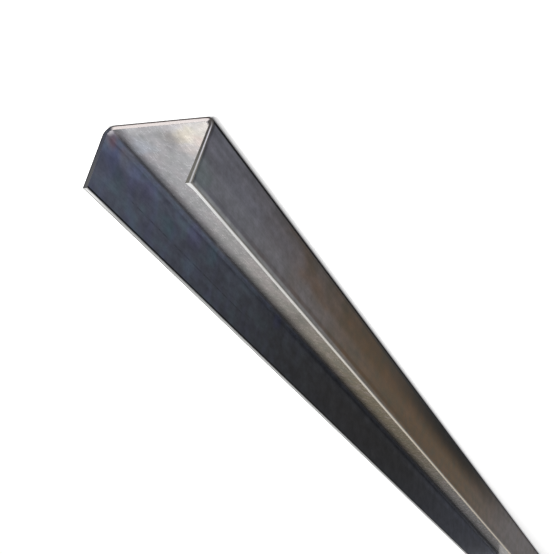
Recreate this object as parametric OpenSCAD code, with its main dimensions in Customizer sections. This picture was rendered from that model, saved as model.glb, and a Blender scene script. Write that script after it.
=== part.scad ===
// Folded steel U-channel.
// One length of hot-rolled strip, folded twice into an open section: a flat web and two equal flanges.
// It lies on the underside of its web, open side up, with its length along X and its width along Y.
// The origin is at the middle of the web's underside.

/* [Section] */
// Width of the channel over the outside of both flanges
web_w = 70; // [40:1:200]
// Height of each flange over the outside of the web
flange_h = 40; // [20:1:120]
// Thickness of the strip
strip_t = 3; // [1:0.1:6]
// Radius on the inside of each fold
fold_r = 3; // [0.5:0.1:8]
// Radius left by slitting on the two long corners of each flange tip
slit_r = 0.4; // [0.1:0.05:0.45]

/* [Length] */
// Length that the stock is cut to
stock_len = 1000; // [200:10:6000]

/* [Finish] */
// Colour of the mill scale on the strip
scale_colour = "#5c5e66"; // ["#5c5e66":Blue grey, "#4a4540":Brown grey, "#8d8e90":Pickled]

/* [Hidden] */
// The folds keep the strip's thickness, so both of their arcs share one centre
fold_outer_r = fold_r + strip_t;
// Distance from the middle of the channel to the centre of each fold
fold_x = web_w / 2 - fold_outer_r;
$fn = 96;

// Quarter ring of one fold, about its own centre, from the web's side round to the flange's
module fold_section() {
    intersection() {
        difference() {
            circle(fold_outer_r);
            circle(fold_r);
        }
        translate([0, -fold_outer_r])
            square(fold_outer_r);
    }
}

// Straight part of one flange, from the end of its fold up to a tip with two slit corners
module flange_section() {
    straight_h = flange_h - fold_outer_r;
    square([strip_t, straight_h - slit_r]);
    translate([slit_r, 0])
        square([strip_t - 2 * slit_r, straight_h]);
    for (corner_x = [slit_r, strip_t - slit_r])
        translate([corner_x, straight_h - slit_r])
            circle(slit_r);
}

// Half of the folded strip, from the middle of the web to the tip of one flange
module half_section() {
    square([fold_x, strip_t]);
    translate([fold_x, fold_outer_r]) {
        fold_section();
        translate([fold_r, 0])
            flange_section();
    }
}

// The whole piece: both halves of the section, run out along the length and cut square at each end
module channel() {
    color(scale_colour)
        rotate([90, 0, 90])
            linear_extrude(stock_len, center = true)
                for (side = [0, 1])
                    mirror([side, 0])
                        half_section();
}

channel();
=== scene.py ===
"""Looks of a folded steel U-channel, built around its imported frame.

One length of hot-rolled strip, folded twice into a web and two flanges, lies open side up.
The strip keeps its satin mill scale. Only the slit edges of the flanges and the cut ends are bare metal.
Sizes are in metres, in the frame's own axes: X along the length, Y across the web and Z up.
"""

import math

import bpy
from mathutils import Matrix, Vector


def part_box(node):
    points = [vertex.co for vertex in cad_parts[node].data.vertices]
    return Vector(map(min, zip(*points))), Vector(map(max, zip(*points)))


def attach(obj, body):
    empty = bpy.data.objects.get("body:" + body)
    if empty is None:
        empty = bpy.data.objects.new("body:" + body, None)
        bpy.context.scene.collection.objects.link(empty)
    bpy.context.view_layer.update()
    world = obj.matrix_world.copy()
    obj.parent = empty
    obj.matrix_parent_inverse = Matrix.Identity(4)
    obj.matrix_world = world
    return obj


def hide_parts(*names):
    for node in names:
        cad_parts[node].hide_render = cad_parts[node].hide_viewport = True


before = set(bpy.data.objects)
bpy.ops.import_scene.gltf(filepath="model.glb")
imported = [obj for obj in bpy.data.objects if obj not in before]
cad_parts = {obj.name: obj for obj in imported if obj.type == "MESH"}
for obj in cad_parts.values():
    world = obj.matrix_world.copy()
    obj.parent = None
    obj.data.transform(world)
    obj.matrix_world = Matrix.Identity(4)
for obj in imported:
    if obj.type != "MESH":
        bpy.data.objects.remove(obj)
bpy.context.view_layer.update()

# Sizes of the channel
MM = 0.001
low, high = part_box("channel")
LENGTH = high.x - low.x
WEB_WIDTH = high.y - low.y
FLANGE_HEIGHT = high.z - low.z
STRIP = 3 * MM
FOLD_INSIDE = 3 * MM
SLIT_CORNER = 0.4 * MM
CUT_EDGE_BREAK = 0.2 * MM
CUT_EDGE_ANGLE = math.radians(50)
RIPPLE_HEIGHT = 0.25 * MM
RIPPLE_SPAN = 180 * MM
FLANGE_LEAN = math.radians(1.75)
CROP_SPREAD = 1.3 * MM
CROP_REACH = 4 * MM

# Places on the strip as it lay flat: the near end along it, and the rest out from the middle of the web
NEAR_END = low.x
FOLD_CENTRE = WEB_WIDTH / 2 - FOLD_INSIDE - STRIP
FOLD_END = FOLD_CENTRE + (FOLD_INSIDE + STRIP / 2) * math.pi / 2
# From here a distance up a flange is also its height above the floor
FLANGE_ZERO = FOLD_END - FOLD_INSIDE - STRIP

# How finely the shape is divided
FOLD_STEPS = 16
SLIT_STEPS = 5
FLAT_STEP = 6 * MM
LENGTH_STEPS = 160

# Sockets of a colour mix
FACTOR, FIRST, SECOND, MIXED = 0, 6, 7, 2


def linear(hex_colour):
    """Turns an sRGB hex colour into the linear one that shaders take."""
    channels = [int(hex_colour[i:i + 2], 16) / 255 for i in (1, 3, 5)]
    return [c / 12.92 if c <= 0.04045 else ((c + 0.055) / 1.055) ** 2.4 for c in channels] + [1.0]


def add(tree, kind, inputs=None, output=0, **settings):
    """Adds a node with its settings, fills its inputs with values or links, and returns an output."""
    node = tree.nodes.new(kind)
    for name, value in settings.items():
        setattr(node, name, value)
    for key, value in (inputs or {}).items():
        if isinstance(value, bpy.types.NodeSocket):
            tree.links.new(value, node.inputs[key])
        else:
            node.inputs[key].default_value = value
    return node.outputs[output] if node.outputs else node


def new_material(name):
    """An empty node material, and its tree."""
    material = bpy.data.materials.new(name)
    material.use_nodes = True
    material.node_tree.nodes.clear()
    return material, material.node_tree


# Patterns on the strip as it lay flat: their size along it and across it, and their detail
PATTERNS = {
    "clouds": (15 * MM, 11 * MM, 3.0),
    "patches": (11 * MM, 26 * MM, 2.0),
    "blotches": (36 * MM, 20 * MM, 3.0),
    "mottle": (4.5 * MM, 3.5 * MM, 3.0),
    "streaks": (160 * MM, 1.0 * MM, 2.0),
    "bands": (240 * MM, 7 * MM, 1.0),
    # Real scale has a grain of about 0.1 mm, which is drawn coarser here so that it shows
    "grain": (1.4 * MM, 1.1 * MM, 2.0),
}
# How far apart in a pattern the two faces of the strip are, so that they differ
FACE_SHIFT = 5.0
# Most of a pattern's values lie between these
PATTERN_LOW = 0.3
PATTERN_HIGH = 0.7


def read_strip(tree, patterns, spans):
    """What is found at a point of the flat strip, by name, and a soft mask there for each span."""
    strip = add(tree, "ShaderNodeAttribute", output="Vector", attribute_name="strip")
    along, across, depth = add(tree, "ShaderNodeSeparateXYZ", {"Vector": strip}).node.outputs
    reach = add(tree, "ShaderNodeMath", {0: across}, operation="ABSOLUTE")
    found = {"strip": strip, "along": along, "across": across, "depth": depth, "reach": reach}
    for name in patterns:
        length, width, detail = PATTERNS[name]
        stretch = (1 / length, 1 / width, FACE_SHIFT / STRIP)
        spot = add(tree, "ShaderNodeVectorMath", {0: strip, 1: stretch}, operation="MULTIPLY")
        found[name] = add(tree, "ShaderNodeTexNoise", {"Vector": spot, "Scale": 1.0, "Detail": detail})
    on = {}
    for name, (follows, place, start, full) in spans.items():
        on[name] = add(tree, "ShaderNodeMapRange", {
            "Value": found[follows], "From Min": place + start * MM, "From Max": place + full * MM,
        }, interpolation_type="SMOOTHSTEP")
    return found, on


# Soft masks on the mill scale: what each follows, the place that it is measured from,
# and where it starts and is full, in millimetres
SCALE_SPANS = {
    # The faces of the strip
    "flange": ("reach", FOLD_CENTRE, 0, 3),
    "outside": ("depth", 0, 0.9, 2.1),
    "left": ("across", -FOLD_CENTRE, 9, 0),
    "right": ("across", FOLD_CENTRE, 0, 7.07),
    # Along the length
    "end_rim": ("along", NEAR_END, 2.4, 0.8),
    "past_end": ("along", NEAR_END, 1, 12),
    "far_shade": ("along", NEAR_END, -20, 270),
    "far": ("along", NEAR_END, 0, 400),
    "half_way": ("along", NEAR_END, 95, 315),
    "farther": ("along", NEAR_END, 90, 450),
    "mid_length": ("along", NEAR_END, 240, 460),
    # Round the folds
    "on_fold": ("reach", FOLD_CENTRE, -5, -1),
    "fold_foot": ("reach", FOLD_CENTRE, -2, 0.5),
    "crease_shade_top": ("reach", FOLD_CENTRE, 3.6, 1.5),
    "fold_start": ("reach", FOLD_CENTRE, 0.5, 2.5),
    "fold_stop": ("reach", FOLD_END, 2, -2),
    "above_fold": ("reach", FOLD_END, -4, -0.5),
    "by_fold": ("reach", FOLD_END, 10, 2),
    "under": ("reach", FOLD_END, -0.5, -1.5),
    "far_under": ("reach", FOLD_END, 1.8, 0.2),
    # Up the flanges
    "band_foot": ("reach", FOLD_END, 1, 2.5),
    "band_top": ("reach", FOLD_END, 6, 4),
    "low_down": ("reach", FLANGE_ZERO, 28, 8),
    "half_up": ("reach", FLANGE_ZERO, 20, 28),
    "near_top": ("reach", FLANGE_ZERO, 34, 35.5),
    "edge": ("reach", FLANGE_ZERO, 37, 38.4),
    "rim": ("reach", FLANGE_ZERO, 38.2, 38.8),
    # One thin rolling line inside the flanges
    "line_foot": ("reach", FLANGE_ZERO, 24.9, 25.4),
    "line_top": ("reach", FLANGE_ZERO, 26.2, 25.7),
    "line_start": ("along", NEAR_END, 22, 40),
    "line_stop": ("along", NEAR_END, 205, 150),
}

# The three kinds of face, each with the mask that leads from its colour at the near end
# to the one further on, and those colours. The web is painted paler than the flanges, in part as painted
# light from above. Further on the faces are painted darker, as painted shade away from the lamp, and
# browner, partly from rust and partly as a painted warm reflection
FACES = {
    "web": ("far", "#c4c3c5", "#9b8f79"),
    "flange": ("far_shade", "#7a7f90", "#5a5e68"),
    "outside": ("rust_and_shade", "#777883", "#65491e"),
}

# Stains and painted shade, each with its colour, its strength and the masks that have to meet
STAINS_AND_SHADE = [
    # Mottled web, and temper colours on the inside of the flanges
    ("#d0c4c4", 0.30, ["inside", "web", "cloudy"]),
    ("#9aa09a", 0.30, ["inside", "web", "clear"]),
    ("#8086ae", 0.32, ["inside", "flange", "patchy", "fresh_and_lit"]),
    ("#5f868c", 0.28, ["inside", "flange", "cloudy", "fresh_and_lit"]),
    # Rust and dirt on the outside, whose brown further on is partly a painted warm reflection
    ("#6e4f2e", 0.50, ["outside", "blotchy", "rust_and_shade"]),
    ("#5c5632", 0.45, ["outside", "clear", "rust_and_shade"]),
    # Painted shade low on the right flange, further along
    ("#1d1a18", 0.95, ["outside", "right", "low_down", "farther", "near_half"]),
    # A band of painted shade low on the outside by the fold, a paler band of painted sheen higher up, and
    # its rims
    ("#2c2c30", 0.22, ["outside", "band_foot", "band_top", "fresh_and_lit"]),
    ("#8a8c92", 0.38, ["outside", "half_up", "below_top", "fresh_and_lit"]),
    ("#333335", 0.12, ["outside", "near_top", "below_edge"]),
    ("#a2a4a6", 0.75, ["outside", "edge", "fresh_and_lit"]),
    ("#26262b", 0.62, ["outside", "flange", "end_rim"]),
    # Painted contact shadow on the underside of the folds where they meet the floor, reaching higher further
    # along
    ("#121214", 0.97, ["outside", "on_fold", "under"]),
    ("#121214", 0.97, ["outside", "on_fold", "far_under", "far"]),
    # Dark rims and a rolling line on the inside
    ("#17181a", 0.92, ["inside", "rim"]),
    ("#1c1d20", 0.45, ["inside", "line_foot", "line_top", "line_start", "line_stop", "broken"]),
    # Painted shade on the web by the left fold, then in the inner creases of the folds
    ("#2b2c33", 0.60, ["inside", "left", "web"]),
    ("#1d2029", 0.62, ["inside", "fold_foot", "crease_shade_top", "past_end"]),
    ("#0e0e10", 0.64, ["inside", "fold_start", "fold_stop", "half_way"]),
]

# Blooms of temper colour, rust and rubbing, and painted highlights and shade, in millimetres: from the near
# end, across from the web's middle, through the strip from its inside face, and reach, then colour and
# strength
BLOOMS_AND_HIGHLIGHTS = [
    (9, -44, 0, 15, "#777fac", 0.42),
    (4, -56, 0, 12, "#7d8194", 0.45),
    (3, -35, 0, 8, "#a497a0", 0.45),
    # The next bloom is a painted highlight, where the left fold catches the light at the near end
    (0, -32, 0, 3.8, "#f6f1f5", 0.80),
    (6, -35, 0, 6, "#8a5860", 0.45),
    (15, -35, 0, 5, "#84716c", 0.35),
    (20, -37, 0, 11, "#8f8b94", 0.36),
    (19, -52, 0, 9, "#5d8288", 0.30),
    (29, -43, 0, 12, "#7a78a0", 0.40),
    (44, -41, 0, 12, "#7d78a4", 0.40),
    (71, -49, 0, 10, "#66909a", 0.40),
    (98, -40, 0, 12, "#7873a0", 0.40),
    (121, -40, 0, 9, "#5c8290", 0.35),
    (152, -46, 0, 16, "#747a8c", 0.30),
    (186, -47, 0, 11, "#737a8a", 0.30),
    (220, -38, 0, 9, "#5d62a0", 0.25),
    (245, -50, 0, 14, "#666d78", 0.35),
    (16, -20, 0, 10, "#d3dbe8", 0.35),
    (2, -18, 0, 6, "#ecebeb", 0.40),
    (27, -17, 0, 10, "#d0c8ca", 0.35),
    # The next eight are a painted cream highlight on the right of the web by the near end, with grey painted
    # shade beside it
    (10, 2, 0, 9, "#8f8b85", 0.58),
    (10, 10, 0, 8, "#ece1cd", 0.60),
    (10, 18, 0, 13, "#ddd4c5", 0.50),
    (6, 16, 0, 5, "#d6d3b4", 0.20),
    (16, 17, 0, 7, "#e0c9bf", 0.40),
    (22, 8, 0, 9, "#d8cac2", 0.45),
    (19, -1, 0, 8, "#979597", 0.40),
    (4, 28, 0, 8, "#eae2da", 0.75),
    (125, -20, 0, 16, "#b2b0b2", 0.25),
    (228, -27, 0, 24, "#3c3a38", 0.25),
    (6, 62, 3, 12, "#727f80", 0.60),
    (4, 44, 3, 7, "#84828e", 0.40),
]
# A bloom is full over the first share of its reach, and its edge strays by the second
BLOOM_CORE = 0.2
BLOOM_STRAY = 1.2
BLOOM_WANDERS_PER_METRE = 90.0
# Distances through the strip count this many times over, so that a bloom stays on one face
BLOOM_THROUGH = 10.0

# How far the blotches shift what grows along the length, and how much of it the far half lacks
RAGGED_STRAY = 90 * MM
FAR_HALF_EASE = 0.6
# Share of the brown that reaches the rest of the outside too, and not only the right flange
BROWN_EVERYWHERE = 0.3
# Grit lies within the first span, and takes the scale's shade and roughness through the other two
GRIT_SPAN = (0.6, 1.25)
SCALE_SHADE = (0.79, 1.21)
SCALE_ROUGHNESS = (0.22, 0.30)
FLANGE_ROUGHER = 0.2
# How much painted light lifts the scale just above the inside of a fold, against the shade there
FOLD_PAINTED_LIGHT = 0.48
# Tight scale shines in part as metal does, and the dull scale under the painted shade doesn't
SCALE_METALLIC = 0.4
DULL_SHADE_AMOUNT = 0.38
DULL_SHADE_ROUGHER = 0.5
SCALE_BUMP = 0.02 * MM


def scale_masks(tree):
    """What is found at a point of the mill scale, by name, and all its masks."""
    found, on = read_strip(tree, PATTERNS, SCALE_SPANS)
    ragged = add(tree, "ShaderNodeMath", {
        0: found["blotches"], 1: RAGGED_STRAY, 2: found["along"],
    }, operation="MULTIPLY_ADD")
    for name, follows, start, full in (
        ("rust_and_shade", ragged, NEAR_END + 35 * MM, NEAR_END + 315 * MM),
        ("far_half", ragged, NEAR_END + 540 * MM, NEAR_END + 820 * MM),
        ("cloudy", found["clouds"], 0.45, 0.7),
        ("clear", found["clouds"], 0.55, 0.3),
        ("patchy", found["patches"], 0.48, 0.68),
        ("blotchy", found["blotches"], 0.5, 0.65),
        ("broken", found["mottle"], 0.35, 0.6),
    ):
        on[name] = add(tree, "ShaderNodeMapRange", {
            "Value": follows, "From Min": start, "From Max": full,
        }, interpolation_type="SMOOTHSTEP")
    for name, opposite in (
        ("inside", "outside"), ("web", "flange"), ("fresh_and_lit", "far"),
        ("below_edge", "edge"), ("below_top", "near_top"), ("near_half", "far_half"),
    ):
        on[name] = add(tree, "ShaderNodeMath", {0: 1.0, 1: on[opposite]}, operation="SUBTRACT")

    # The far half has less of the painted shade and brown that grow along the length,
    # and most of the brown is on the right flange
    for name in ("far", "far_shade", "rust_and_shade"):
        on[name] = add(tree, "ShaderNodeMath", {
            0: on["far_half"], 1: -FAR_HALF_EASE, 2: on[name],
        }, operation="MULTIPLY_ADD")
    mostly_right = add(tree, "ShaderNodeMath", {
        0: on["right"], 1: 1 - BROWN_EVERYWHERE, 2: BROWN_EVERYWHERE,
    }, operation="MULTIPLY_ADD")
    on["rust_and_shade"] = add(tree, "ShaderNodeMath", {0: on["rust_and_shade"], 1: mostly_right}, operation="MULTIPLY")
    return found, on


def scale_colour(tree, strip, on):
    """The scale's colour: its faces, then stains and painted shade, then blooms and painted highlights on
    top.
    """
    faces = {}
    for name, (how_far, fresh_and_lit, later) in FACES.items():
        faces[name] = add(tree, "ShaderNodeMix", {
            FACTOR: on[how_far], FIRST: linear(fresh_and_lit), SECOND: linear(later),
        }, output=MIXED, data_type="RGBA")
    colour = faces["web"]
    for name in ("flange", "outside"):
        colour = add(tree, "ShaderNodeMix", {
            FACTOR: on[name], FIRST: colour, SECOND: faces[name],
        }, output=MIXED, data_type="RGBA")
    for overlay, strength, masks in STAINS_AND_SHADE:
        amount = strength
        for name in masks:
            amount = add(tree, "ShaderNodeMath", {0: on[name], 1: amount}, operation="MULTIPLY")
        colour = add(tree, "ShaderNodeMix", {
            FACTOR: amount, FIRST: colour, SECOND: linear(overlay),
        }, output=MIXED, data_type="RGBA")

    # Blooms have wandering edges, and each stays on its own face of the strip
    face = add(tree, "ShaderNodeVectorMath", {0: strip, 1: (1.0, 1.0, BLOOM_THROUGH)}, operation="MULTIPLY")
    wander = add(tree, "ShaderNodeVectorMath", {
        0: strip, 1: (BLOOM_WANDERS_PER_METRE,) * 3,
    }, operation="MULTIPLY")
    wander = add(tree, "ShaderNodeTexNoise", {"Vector": wander, "Scale": 1.0, "Detail": 3.0}, "Color")
    wander = add(tree, "ShaderNodeVectorMath", {0: wander, 1: (0.5, 0.5, 0.5)}, operation="SUBTRACT")
    for from_end, sideways, through, size, bloom, strength in BLOOMS_AND_HIGHLIGHTS:
        middle = (NEAR_END + from_end * MM, sideways * MM, BLOOM_THROUGH * through * MM)
        stray = (BLOOM_STRAY * size * MM, BLOOM_STRAY * size * MM, 0.0)
        spot = add(tree, "ShaderNodeVectorMath", {0: wander, 1: stray, 2: face}, operation="MULTIPLY_ADD")
        away = add(tree, "ShaderNodeVectorMath", {0: spot, 1: middle}, "Value", operation="DISTANCE")
        amount = add(tree, "ShaderNodeMapRange", {
            "Value": away, "From Min": size * MM, "From Max": BLOOM_CORE * size * MM, "To Max": strength,
        }, interpolation_type="SMOOTHSTEP")
        colour = add(tree, "ShaderNodeMix", {
            FACTOR: amount, FIRST: colour, SECOND: linear(bloom),
        }, output=MIXED, data_type="RGBA")
    return colour


def mill_scale():
    """Hot-rolled strip under thin, tight mill scale: satin slate grey, mottled, tinted by heat and rust."""
    material, tree = new_material("hot_rolled_mill_scale")
    found, on = scale_masks(tree)
    colour = scale_colour(tree, found["strip"], on)

    # Mottle, grain and rolling streaks lighten and darken the scale, and roughen it
    grit = found["mottle"]
    for name, share in (("grain", 0.45), ("streaks", 0.4)):
        grit = add(tree, "ShaderNodeMath", {0: found[name], 1: share, 2: grit}, operation="MULTIPLY_ADD")
    shade, rough = (
        add(tree, "ShaderNodeMapRange", {
            "Value": grit, "From Min": GRIT_SPAN[0], "From Max": GRIT_SPAN[1],
            "To Min": least, "To Max": most,
        })
        for least, most in (SCALE_SHADE, SCALE_ROUGHNESS)
    )

    # Painted light makes the scale paler just above the inside of each fold, against the shade there,
    # and its tone drifts on the flanges
    lift = FOLD_PAINTED_LIGHT
    for name in ("by_fold", "inside", "above_fold"):
        lift = add(tree, "ShaderNodeMath", {0: lift, 1: on[name]}, operation="MULTIPLY")
    lift = add(tree, "ShaderNodeMath", {0: lift, 1: 1.0}, operation="ADD")
    shade = add(tree, "ShaderNodeMath", {0: shade, 1: lift}, operation="MULTIPLY")
    for where, name, change in (("flange", "clouds", 1.0), ("outside", "bands", 0.6)):
        tone = add(tree, "ShaderNodeMath", {
            0: found[name], 1: change, 2: 1 - change / 2,
        }, operation="MULTIPLY_ADD")
        tone = add(tree, "ShaderNodeMix", {0: on[where], 2: 1.0, 3: tone})
        shade = add(tree, "ShaderNodeMath", {0: shade, 1: tone}, operation="MULTIPLY")
    colour = add(tree, "ShaderNodeVectorMath", {0: colour, 1: shade}, operation="MULTIPLY")

    # Under the folds and low on the right flange, where shade is painted, the scale is rough and takes the
    # metal's shine away, so that no reflection lightens that painted shade
    dull_shade = DULL_SHADE_AMOUNT
    for name in ("right", "low_down", "mid_length", "near_half"):
        dull_shade = add(tree, "ShaderNodeMath", {0: dull_shade, 1: on[name]}, operation="MULTIPLY")
    contact = add(tree, "ShaderNodeMath", {0: on["on_fold"], 1: on["under"]}, operation="MULTIPLY")
    dull_shade = add(tree, "ShaderNodeMath", {0: dull_shade, 1: contact}, operation="MAXIMUM")
    dull_shade = add(tree, "ShaderNodeMath", {0: on["outside"], 1: dull_shade}, operation="MULTIPLY")
    for where, more in ((on["flange"], FLANGE_ROUGHER), (dull_shade, DULL_SHADE_ROUGHER)):
        rough = add(tree, "ShaderNodeMath", {0: where, 1: more, 2: rough}, operation="MULTIPLY_ADD")
    metal = add(tree, "ShaderNodeMath", {
        0: dull_shade, 1: -SCALE_METALLIC, 2: SCALE_METALLIC,
    }, operation="MULTIPLY_ADD")
    bump = add(tree, "ShaderNodeBump", {"Strength": 0.06, "Distance": SCALE_BUMP, "Height": grit})
    shader = add(tree, "ShaderNodeBsdfPrincipled", {
        "Base Color": colour, "Metallic": metal, "Roughness": rough, "Normal": bump,
        "Specular IOR Level": 0.1,
    })
    add(tree, "ShaderNodeOutputMaterial", {"Surface": shader})
    return material


# Soft masks on the slit edges, in the same way
SLIT_SPANS = {
    "far": ("along", NEAR_END, 0, 450),
    "by_end": ("along", NEAR_END, 36, 4),
    "right": ("across", 0, -1, 1),
    "broken": ("depth", 0, 1.8, 2.4),
}
SLIT_DULLED = 0.82
SLIT_SHADE = (0.82, 1.06)
SLIT_ROUGHNESS = (0.3, 0.45)


def slit_edge():
    """Bare steel where the strip was slit to width: bright where it was sheared, grey where it broke."""
    material, tree = new_material("slit_bare_steel")
    found, on = read_strip(tree, ("clouds", "mottle"), SLIT_SPANS)

    # Colours of the left edge and of the right one: by the near end, past it and far along
    by_end, past_end, later = (
        add(tree, "ShaderNodeMix", {
            FACTOR: on["right"], FIRST: linear(left), SECOND: linear(right),
        }, output=MIXED, data_type="RGBA")
        for left, right in (("#eeeeed", "#f2f2f1"), ("#b7b8b7", "#dcdcdb"), ("#c4c5c4", "#d6cab5"))
    )
    dulled = add(tree, "ShaderNodeMath", {0: on["broken"], 1: SLIT_DULLED}, operation="MULTIPLY")
    bare = past_end
    for amount, over in ((on["far"], later), (on["by_end"], by_end), (dulled, linear("#6c6a66"))):
        bare = add(tree, "ShaderNodeMix", {
            FACTOR: amount, FIRST: bare, SECOND: over,
        }, output=MIXED, data_type="RGBA")
    shade, rough = (
        add(tree, "ShaderNodeMapRange", {
            "Value": found[name], "From Min": PATTERN_LOW, "From Max": PATTERN_HIGH,
            "To Min": least, "To Max": most,
        })
        for name, (least, most) in (("clouds", SLIT_SHADE), ("mottle", SLIT_ROUGHNESS))
    )
    bare = add(tree, "ShaderNodeVectorMath", {0: bare, 1: shade}, operation="MULTIPLY")
    shader = add(tree, "ShaderNodeBsdfPrincipled", {
        "Base Color": bare, "Metallic": 1.0, "Roughness": rough,
    })
    add(tree, "ShaderNodeOutputMaterial", {"Surface": shader})
    return material


# Soft masks on the cut ends, in the same way
CUT_SPANS = {
    "right": ("across", FOLD_CENTRE, 1.5, 3),
    "left": ("across", -FOLD_CENTRE, 0.5, -2.5),
    "past_fold": ("across", FOLD_END, -4, 4),
    "up": ("reach", FOLD_END, 6, 28),
    "outer": ("depth", 0, 1.95, 2.35),
    "past_inner": ("depth", 0, 1.45, 1.75),
    "past_pale": ("depth", 0, 2.2, 2.5),
}
CUT_SHADE = (0.9, 1.05)
CUT_ROUGHNESS = (0.25, 0.5)


def cut_end():
    """Bare steel where the stock was cropped: pale where the blade went in, dark where the metal tore."""
    material, tree = new_material("cropped_bare_steel")
    found, on = read_strip(tree, ("grain",), CUT_SPANS)

    # On the web and the left flange the outer part tore, on the right flange both sides of a pale line
    line = add(tree, "ShaderNodeMath", {0: on["past_inner"], 1: on["past_pale"]}, operation="SUBTRACT")
    line = add(tree, "ShaderNodeMath", {0: line, 1: on["past_fold"]}, operation="MULTIPLY")
    beside = add(tree, "ShaderNodeMath", {0: 1.0, 1: line}, operation="SUBTRACT")
    torn = add(tree, "ShaderNodeMix", {0: on["right"], 2: on["outer"], 3: beside})

    # Colours of the web, and of each flange by its fold and by its tip: where pale, then where torn
    parts = []
    for web, right, right_tip, left, left_tip in (
        ("#fff5f2", "#dedbe4", "#c9c8ca", "#484b58", "#606062"),
        ("#3e302d", "#5a5653", "#807e78", "#17181b", "#262729"),
    ):
        part = linear(web)
        for side, by_fold, by_tip in (("right", right, right_tip), ("left", left, left_tip)):
            flange = add(tree, "ShaderNodeMix", {
                FACTOR: on["up"], FIRST: linear(by_fold), SECOND: linear(by_tip),
            }, output=MIXED, data_type="RGBA")
            part = add(tree, "ShaderNodeMix", {
                FACTOR: on[side], FIRST: part, SECOND: flange,
            }, output=MIXED, data_type="RGBA")
        parts.append(part)
    bare = add(tree, "ShaderNodeMix", {
        FACTOR: torn, FIRST: parts[0], SECOND: parts[1],
    }, output=MIXED, data_type="RGBA")
    shade = add(tree, "ShaderNodeMapRange", {
        "Value": found["grain"], "From Min": PATTERN_LOW, "From Max": PATTERN_HIGH,
        "To Min": CUT_SHADE[0], "To Max": CUT_SHADE[1],
    })
    bare = add(tree, "ShaderNodeVectorMath", {0: bare, 1: shade}, operation="MULTIPLY")
    rough = add(tree, "ShaderNodeMapRange", {
        "Value": torn, "To Min": CUT_ROUGHNESS[0], "To Max": CUT_ROUGHNESS[1],
    })
    shader = add(tree, "ShaderNodeBsdfPrincipled", {
        "Base Color": bare, "Metallic": 0.9, "Roughness": rough,
    })
    add(tree, "ShaderNodeOutputMaterial", {"Surface": shader})
    return material


# Named inputs of the channel's tree, with what each is set to
TREE_SIZES = {
    "Length": LENGTH,
    "Web Width": WEB_WIDTH,
    "Flange Height": FLANGE_HEIGHT,
    "Strip Thickness": STRIP,
    "Fold Inside Radius": FOLD_INSIDE,
    "Slit Corner Radius": SLIT_CORNER,
    "Flat Step": FLAT_STEP,
    "Ripple Height": RIPPLE_HEIGHT,
    "Ripple Span": RIPPLE_SPAN,
    "Flange Lean": FLANGE_LEAN,
    "Crop Spread": CROP_SPREAD,
    "Crop Reach": CROP_REACH,
}
TREE_COUNTS = {
    "Fold Steps": FOLD_STEPS,
    "Slit Steps": SLIT_STEPS,
    "Length Steps": LENGTH_STEPS,
    "Ripple Seed": 7,
}
# A face belongs to a cut end when its normal lies this much along the length
CUT_FACING = 0.9


def section_outline(tree, given):
    """The strip's folded section as a closed curve of eight rounded corners, with its flats in steps."""
    top = given["Flange Height"]
    strip = given["Strip Thickness"]
    fold_inside = given["Fold Inside Radius"]
    fold_outside = add(tree, "ShaderNodeMath", {0: fold_inside, 1: strip}, operation="ADD")
    slit_radius = given["Slit Corner Radius"]
    half = add(tree, "ShaderNodeMath", {0: given["Web Width"], 1: 0.5}, operation="MULTIPLY")
    half_inside = add(tree, "ShaderNodeMath", {0: half, 1: strip}, operation="SUBTRACT")

    # The corners in order, from the outside of the left fold: side, reach, height, radius and steps
    folded = given["Fold Steps"]
    slitted = given["Slit Steps"]
    corners = [
        (-1.0, half, 0.0, fold_outside, folded),
        (1.0, half, 0.0, fold_outside, folded),
        (1.0, half, top, slit_radius, slitted),
        (1.0, half_inside, top, slit_radius, slitted),
        (1.0, half_inside, strip, fold_inside, folded),
        (-1.0, half_inside, strip, fold_inside, folded),
        (-1.0, half_inside, top, slit_radius, slitted),
        (-1.0, half, top, slit_radius, slitted),
    ]
    index = add(tree, "GeometryNodeInputIndex")
    corner_at = add(tree, "GeometryNodeIndexSwitch", {"Index": index}, data_type="VECTOR").node
    radius_at = add(tree, "GeometryNodeIndexSwitch", {"Index": index}, data_type="FLOAT").node
    steps_at = add(tree, "GeometryNodeIndexSwitch", {"Index": index}, data_type="INT").node
    for switch in (corner_at, radius_at, steps_at):
        while len(switch.index_switch_items) < len(corners):
            switch.index_switch_items.new()
    for number, (side, reach, height, radius, steps) in enumerate(corners):
        sideways = add(tree, "ShaderNodeMath", {0: reach, 1: side}, operation="MULTIPLY")
        corner = add(tree, "ShaderNodeCombineXYZ", {"X": sideways, "Y": height})
        for switch, value in ((corner_at, corner), (radius_at, radius), (steps_at, steps)):
            tree.links.new(value, switch.inputs[str(number)])
    outline = add(tree, "GeometryNodePoints", {"Count": len(corners), "Position": corner_at.outputs[0]})
    outline = add(tree, "GeometryNodePointsToCurves", {"Points": outline})
    outline = add(tree, "GeometryNodeSetSplineCyclic", {"Geometry": outline, "Cyclic": True})
    outline = add(tree, "GeometryNodeFilletCurve", {
        "Curve": outline, "Count": steps_at.outputs[0], "Radius": radius_at.outputs[0],
    }, mode="POLY")

    # The flats are cut into short steps, so that they can ripple
    position = add(tree, "GeometryNodeInputPosition")
    following = add(tree, "GeometryNodeOffsetPointInCurve", {
        "Point Index": index, "Offset": 1,
    }, output="Point Index")
    next_position = add(tree, "GeometryNodeFieldAtIndex", {
        "Index": following, "Value": position,
    }, data_type="FLOAT_VECTOR")
    span = add(tree, "ShaderNodeVectorMath", {0: position, 1: next_position}, "Value", operation="DISTANCE")
    cuts = add(tree, "ShaderNodeMath", {0: span, 1: given["Flat Step"]}, operation="DIVIDE")
    return add(tree, "GeometryNodeSubdivideCurve", {"Curve": outline, "Cuts": cuts})


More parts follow.
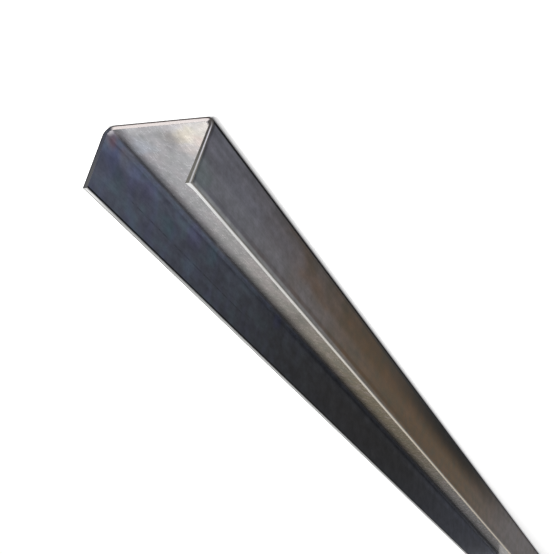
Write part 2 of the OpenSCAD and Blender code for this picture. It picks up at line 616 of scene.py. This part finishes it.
def run_out(tree, given, outline):
    """The section run out along the length as a mesh, with both ends closed."""
    ends = []
    for share in (-0.5, 0.5):
        along = add(tree, "ShaderNodeMath", {0: given["Length"], 1: share}, operation="MULTIPLY")
        ends.append(add(tree, "ShaderNodeCombineXYZ", {"X": along}))
    run = add(tree, "GeometryNodeCurvePrimitiveLine", {"Start": ends[0], "End": ends[1]})
    run = add(tree, "GeometryNodeResampleCurve", {"Curve": run, "Count": given["Length Steps"]})
    run = add(tree, "GeometryNodeSetCurveTilt", {"Curve": run, "Tilt": math.pi})
    return add(tree, "GeometryNodeCurveToMesh", {
        "Curve": run, "Profile Curve": outline, "Fill Caps": True,
    })


def unfold(tree, given, here):
    """Where each point lay on the flat strip, and its side, its distance up a flange and its depth."""
    strip = given["Strip Thickness"]
    fold_inside = given["Fold Inside Radius"]
    fold_outside = add(tree, "ShaderNodeMath", {0: fold_inside, 1: strip}, operation="ADD")
    half = add(tree, "ShaderNodeMath", {0: given["Web Width"], 1: 0.5}, operation="MULTIPLY")
    fold_centre = add(tree, "ShaderNodeMath", {0: half, 1: fold_outside}, operation="SUBTRACT")
    reach = add(tree, "ShaderNodeMath", {0: here["Y"]}, operation="ABSOLUTE")
    side = add(tree, "ShaderNodeMath", {0: here["Y"]}, operation="SIGN")

    # A point's turn round the fold and its depth, both from the fold's centre
    beyond = add(tree, "ShaderNodeMath", {0: reach, 1: fold_centre}, operation="SUBTRACT")
    beyond = add(tree, "ShaderNodeMath", {0: beyond, 1: 0.0}, operation="MAXIMUM")
    below = add(tree, "ShaderNodeMath", {0: fold_outside, 1: here["Z"]}, operation="SUBTRACT")
    below = add(tree, "ShaderNodeMath", {0: below, 1: 0.0}, operation="MAXIMUM")
    turn = add(tree, "ShaderNodeMath", {0: beyond, 1: below}, operation="ARCTAN2")
    from_centre = add(tree, "ShaderNodeCombineXYZ", {"X": beyond, "Y": below})
    from_centre = add(tree, "ShaderNodeVectorMath", {0: from_centre}, "Value", operation="LENGTH")
    depth = add(tree, "ShaderNodeMath", {0: from_centre, 1: fold_inside}, operation="SUBTRACT")

    # Its way across the strip: over the web, round the fold at the middle of the strip, and up the flange
    middle = add(tree, "ShaderNodeMath", {0: strip, 1: 0.5, 2: fold_inside}, operation="MULTIPLY_ADD")
    on_web = add(tree, "ShaderNodeMath", {0: reach, 1: fold_centre}, operation="MINIMUM")
    on_flange = add(tree, "ShaderNodeMath", {0: here["Z"], 1: fold_outside}, operation="SUBTRACT")
    on_flange = add(tree, "ShaderNodeMath", {0: on_flange, 1: 0.0}, operation="MAXIMUM")
    across = add(tree, "ShaderNodeMath", {0: turn, 1: middle, 2: on_web}, operation="MULTIPLY_ADD")
    across = add(tree, "ShaderNodeMath", {0: across, 1: on_flange}, operation="ADD")
    across = add(tree, "ShaderNodeMath", {0: across, 1: side}, operation="MULTIPLY")
    place = add(tree, "ShaderNodeCombineXYZ", {"X": here["X"], "Y": across, "Z": depth})
    return place, side, on_flange, depth


def sway(tree, given, here, side, on_flange, depth):
    """How far each point stands sideways of a square section: the flanges' ripple, lean and cropped end."""
    # Each flange ripples along its length, most at its tip
    wave_x = add(tree, "ShaderNodeMath", {0: here["X"], 1: given["Ripple Span"]}, operation="DIVIDE")
    wave_y = add(tree, "ShaderNodeMath", {0: side, 1: given["Ripple Seed"]}, operation="MULTIPLY")
    wave_at = add(tree, "ShaderNodeCombineXYZ", {"X": wave_x, "Y": wave_y})
    wave = add(tree, "ShaderNodeTexNoise", {"Vector": wave_at, "Scale": 1.0, "Detail": 1.0})
    wave = add(tree, "ShaderNodeMath", {0: wave, 1: 0.5}, operation="SUBTRACT")
    lift = add(tree, "ShaderNodeMath", {0: here["Z"], 1: given["Flange Height"]}, operation="DIVIDE")
    lift = add(tree, "ShaderNodeMath", {0: lift, 1: 2.0}, operation="POWER")
    for share in (lift, given["Ripple Height"]):
        wave = add(tree, "ShaderNodeMath", {0: wave, 1: share}, operation="MULTIPLY")

    # Each leans in a little past square
    lean = add(tree, "ShaderNodeMath", {0: given["Flange Lean"]}, operation="TANGENT")
    for share in (on_flange, side):
        lean = add(tree, "ShaderNodeMath", {0: lean, 1: share}, operation="MULTIPLY")

    # Cropping spread the near end of the right flange inwards, most at its tip
    near = add(tree, "ShaderNodeMath", {0: given["Length"], 1: -0.5}, operation="MULTIPLY")
    untouched = add(tree, "ShaderNodeMath", {0: near, 1: given["Crop Reach"]}, operation="ADD")
    spread = add(tree, "ShaderNodeMapRange", {
        "Value": here["X"], "From Min": untouched, "From Max": near, "To Max": given["Crop Spread"],
    })
    outer_share = add(tree, "ShaderNodeMath", {0: depth, 1: given["Strip Thickness"]}, operation="DIVIDE")
    inner_share = add(tree, "ShaderNodeMath", {0: 1.0, 1: outer_share}, operation="SUBTRACT")
    right_side = add(tree, "ShaderNodeMath", {0: side, 1: 0.0}, operation="MAXIMUM")
    for share in (inner_share, right_side, lift):
        spread = add(tree, "ShaderNodeMath", {0: spread, 1: share}, operation="MULTIPLY")
    sideways = add(tree, "ShaderNodeMath", {0: wave, 1: lean}, operation="SUBTRACT")
    sideways = add(tree, "ShaderNodeMath", {0: sideways, 1: spread}, operation="SUBTRACT")
    return add(tree, "ShaderNodeCombineXYZ", {"Y": sideways})


def channel_tree(scale, slit, cut):
    """Geometry Nodes that fold the strip, run it out along the length and give each face its finish."""
    tree = bpy.data.node_groups.new("folded_channel", "GeometryNodeTree")
    for name in TREE_SIZES:
        tree.interface.new_socket(name, in_out="INPUT", socket_type="NodeSocketFloat")
    for name in TREE_COUNTS:
        tree.interface.new_socket(name, in_out="INPUT", socket_type="NodeSocketInt")
    tree.interface.new_socket("Channel", in_out="OUTPUT", socket_type="NodeSocketGeometry")
    given = add(tree, "NodeGroupInput").node.outputs
    position = add(tree, "GeometryNodeInputPosition")
    here = add(tree, "ShaderNodeSeparateXYZ", {"Vector": position}).node.outputs
    channel = run_out(tree, given, section_outline(tree, given))
    place, side, on_flange, depth = unfold(tree, given, here)
    channel = add(tree, "GeometryNodeStoreNamedAttribute", {
        "Geometry": channel, "Name": "strip", "Value": place,
    }, data_type="FLOAT_VECTOR", domain="POINT")
    offset = sway(tree, given, here, side, on_flange, depth)
    channel = add(tree, "GeometryNodeSetPosition", {"Geometry": channel, "Offset": offset})
    channel = add(tree, "GeometryNodeSetShadeSmooth", {"Geometry": channel})

    # Mill scale all over, bare metal on the slit edges and the cut ends
    slit_start = add(tree, "ShaderNodeMath", {
        0: given["Flange Height"], 1: given["Slit Corner Radius"],
    }, operation="SUBTRACT")
    on_slit = add(tree, "FunctionNodeCompare", {"A": here["Z"], "B": slit_start}, operation="GREATER_THAN")
    normal = add(tree, "GeometryNodeInputNormal")
    facing = add(tree, "ShaderNodeSeparateXYZ", {"Vector": normal}, "X")
    facing = add(tree, "ShaderNodeMath", {0: facing}, operation="ABSOLUTE")
    on_cut = add(tree, "FunctionNodeCompare", {"A": facing, "B": CUT_FACING}, operation="GREATER_THAN")
    channel = add(tree, "GeometryNodeRealizeInstances", {"Geometry": channel})
    channel = add(tree, "GeometryNodeSetMaterial", {"Geometry": channel, "Material": scale})
    for selection, material in ((on_slit, slit), (on_cut, cut)):
        channel = add(tree, "GeometryNodeSetMaterial", {
            "Geometry": channel, "Selection": selection, "Material": material,
        })
    add(tree, "NodeGroupOutput", {"Channel": channel})
    return tree


def make_channel():
    """The channel as one plain mesh: folded by its tree, with the cut ends' sharp edges broken."""
    piece = bpy.data.objects.new("folded_channel", bpy.data.meshes.new("folded_channel_blank"))
    bpy.context.scene.collection.objects.link(piece)
    tree = channel_tree(mill_scale(), slit_edge(), cut_end())
    fold = piece.modifiers.new("fold", "NODES")
    fold.node_group = tree
    for name, value in {**TREE_SIZES, **TREE_COUNTS}.items():
        fold[tree.interface.items_tree[name].identifier] = value
    broken = piece.modifiers.new("cut_edges", "BEVEL")
    broken.width = CUT_EDGE_BREAK
    broken.segments = 2
    broken.limit_method = "ANGLE"
    broken.angle_limit = CUT_EDGE_ANGLE
    short = piece.modifiers.new("short_end_faces", "TRIANGULATE")
    short.ngon_method = "BEAUTY"
    short.min_vertices = 5
    piece.modifiers.new("true_flats", "WEIGHTED_NORMAL")
    graph = bpy.context.evaluated_depsgraph_get()
    folded = piece.evaluated_get(graph)
    mesh = bpy.data.meshes.new_from_object(folded, preserve_all_data_layers=True, depsgraph=graph)
    piece.modifiers.clear()
    piece.data = mesh
    return piece


# The floor: how far it runs, how far it lies below the channel, and its glow where the channel doesn't stand
FLOOR_REACH = 60.0
FLOOR_DROP = 0.1 * MM
FLOOR_GLOW = 0.6


def lay_floor():
    """A wide, matt white floor, which keeps the channel's shadow and is white where nothing shades it."""
    mesh = bpy.data.meshes.new("floor")
    corners = [
        (x * FLOOR_REACH, y * FLOOR_REACH, -FLOOR_DROP)
        for x, y in ((-1, -1), (1, -1), (1, 1), (-1, 1))
    ]
    mesh.from_pydata(corners, [], [(0, 1, 2, 3)])
    floor = bpy.data.objects.new("floor", mesh)
    bpy.context.scene.collection.objects.link(floor)
    material, tree = new_material("matt_white_floor")

    # Only the camera sees the floor white, so that it throws little light up at the channel
    ray = add(tree, "ShaderNodeLightPath").node.outputs
    pale = add(tree, "ShaderNodeMix", {
        FACTOR: ray["Is Camera Ray"], FIRST: linear("#8a8a8a"), SECOND: linear("#f6f6f6"),
    }, output=MIXED, data_type="RGBA")
    matt = add(tree, "ShaderNodeBsdfDiffuse", {"Color": pale})

    # The glow stops just inside the channel's outline, so that the floor stays dark in the gap under it
    place = add(tree, "ShaderNodeNewGeometry", output="Position")
    place = add(tree, "ShaderNodeSeparateXYZ", {"Vector": place}).node.outputs
    clear = 0.0
    for axis, start, full in (
        ("Y", WEB_WIDTH / 2 - 4 * MM, WEB_WIDTH / 2 - 1.5 * MM),
        ("X", LENGTH / 2 - 2 * MM, LENGTH / 2),
    ):
        distance = add(tree, "ShaderNodeMath", {0: place[axis]}, operation="ABSOLUTE")
        past = add(tree, "ShaderNodeMapRange", {
            "Value": distance, "From Min": start, "From Max": full,
        }, interpolation_type="SMOOTHSTEP")
        clear = add(tree, "ShaderNodeMath", {0: past, 1: clear}, operation="MAXIMUM")
    shown = ray["Is Camera Ray"]
    for kind in ("Is Glossy Ray", "Is Transmission Ray"):
        shown = add(tree, "ShaderNodeMath", {0: shown, 1: ray[kind]}, operation="MAXIMUM")
    strength = add(tree, "ShaderNodeMath", {0: clear, 1: FLOOR_GLOW}, operation="MULTIPLY")
    strength = add(tree, "ShaderNodeMath", {0: shown, 1: strength}, operation="MULTIPLY")
    glow = add(tree, "ShaderNodeEmission", {"Strength": strength})
    both = add(tree, "ShaderNodeAddShader", {0: matt, 1: glow})
    add(tree, "ShaderNodeOutputMaterial", {"Surface": both})
    mesh.materials.append(material)


# The room is darkest near the horizon and paler high up
ROOM_DARK = 0.12
ROOM_PALE = 0.36
ROOM_DARK_ELEVATION = math.radians(6)
ROOM_PALE_ELEVATION = math.radians(48)
# Its brightest side
BRIGHT_AZIMUTH = math.radians(-46)
BRIGHT_ELEVATION = math.radians(40)
BRIGHT_REACH = math.radians(50)
BRIGHT_GLOW = 0.8
# Low down it is a white backdrop, which fades out between these heights
BACKDROP_TOP = math.radians(11)
BACKDROP_FADE = math.radians(6)
# The lamp over the near end
LAMP_ALONG = -0.05
LAMP_HEIGHT = 0.80
LAMP_SIZE = 0.5
LAMP_WATTS = 6.0


def light_studio():
    """Plain soft light: a pale room, brightest high up at the far left, and a lamp over the near end."""
    world = bpy.data.worlds.new("soft_studio")
    world.use_nodes = True
    tree = world.node_tree
    tree.nodes.clear()
    direction = add(tree, "ShaderNodeTexCoord", output="Generated")
    height = add(tree, "ShaderNodeSeparateXYZ", {"Vector": direction}, "Z")
    room = add(tree, "ShaderNodeMapRange", {
        "Value": height, "To Min": ROOM_DARK, "To Max": ROOM_PALE,
        "From Min": math.sin(ROOM_DARK_ELEVATION), "From Max": math.sin(ROOM_PALE_ELEVATION),
    }, interpolation_type="SMOOTHSTEP")
    level = math.cos(BRIGHT_ELEVATION)
    bright = (
        level * math.cos(BRIGHT_AZIMUTH), level * math.sin(BRIGHT_AZIMUTH), math.sin(BRIGHT_ELEVATION),
    )
    towards = add(tree, "ShaderNodeVectorMath", {0: direction, 1: bright}, "Value", operation="DOT_PRODUCT")
    glow = add(tree, "ShaderNodeMapRange", {
        "Value": towards, "From Min": math.cos(BRIGHT_REACH), "From Max": math.cos(BRIGHT_REACH / 4),
        "To Max": BRIGHT_GLOW,
    }, interpolation_type="SMOOTHSTEP")
    light = add(tree, "ShaderNodeMath", {0: room, 1: glow}, operation="ADD")

    # Only the camera, reflections and glass see the backdrop
    backdrop = add(tree, "ShaderNodeMapRange", {
        "Value": height, "From Min": math.sin(BACKDROP_TOP), "From Max": math.sin(BACKDROP_FADE),
    }, interpolation_type="SMOOTHSTEP")
    ray = add(tree, "ShaderNodeLightPath").node.outputs
    shown = ray["Is Camera Ray"]
    for kind in ("Is Glossy Ray", "Is Transmission Ray"):
        shown = add(tree, "ShaderNodeMath", {0: shown, 1: ray[kind]}, operation="MAXIMUM")
    backdrop = add(tree, "ShaderNodeMath", {0: backdrop, 1: shown}, operation="MULTIPLY")
    light = add(tree, "ShaderNodeMix", {0: backdrop, 2: light, 3: 1.0})
    sky = add(tree, "ShaderNodeBackground", {"Color": linear("#ffffff"), "Strength": light})
    add(tree, "ShaderNodeOutputWorld", {"Surface": sky})
    bpy.context.scene.world = world

    # The lamp isn't mirrored in the steel, so that it burns no white patch into the web
    lamp = bpy.data.lights.new("overhead_lamp", "AREA")
    lamp.shape = "DISK"
    lamp.size = LAMP_SIZE
    lamp.energy = LAMP_WATTS
    stand = bpy.data.objects.new("overhead_lamp", lamp)
    stand.location = (NEAR_END + LAMP_ALONG, 0.0, LAMP_HEIGHT)
    stand.visible_glossy = False
    bpy.context.scene.collection.objects.link(stand)


# The camera stands off the near end, to the right of it, and is turned almost upside down
CAMERA_FROM_NEAR_END = Vector((-270.9, 259.7, 237.5)) * MM
CAMERA_AZIMUTH = math.radians(-31.54)
CAMERA_ELEVATION = math.radians(-24.82)
CAMERA_ROLL = math.radians(-164.83)
CAMERA_LENS = 54.55
CAMERA_SENSOR = 36.0
CAMERA_CLIP = 0.01


def place_camera():
    """The camera at the photograph's viewing angle."""
    data = bpy.data.cameras.new("camera")
    data.lens = CAMERA_LENS
    data.sensor_width = CAMERA_SENSOR
    data.clip_start = CAMERA_CLIP
    camera = bpy.data.objects.new("camera", data)
    bpy.context.scene.collection.objects.link(camera)
    level = math.cos(CAMERA_ELEVATION)
    view = Vector((
        level * math.cos(CAMERA_AZIMUTH), level * math.sin(CAMERA_AZIMUTH), math.sin(CAMERA_ELEVATION),
    ))
    near_end = Vector((NEAR_END, (low.y + high.y) / 2, low.z))
    upright = view.to_track_quat("-Z", "Y").to_matrix().to_4x4()
    turned = upright @ Matrix.Rotation(CAMERA_ROLL, 4, "Z")
    camera.matrix_world = Matrix.Translation(near_end + CAMERA_FROM_NEAR_END) @ turned
    bpy.context.scene.camera = camera


place_camera()
light_studio()
lay_floor()
channel = make_channel()
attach(channel, "root")
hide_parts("channel")
bpy.context.scene.view_settings.view_transform = "Standard"
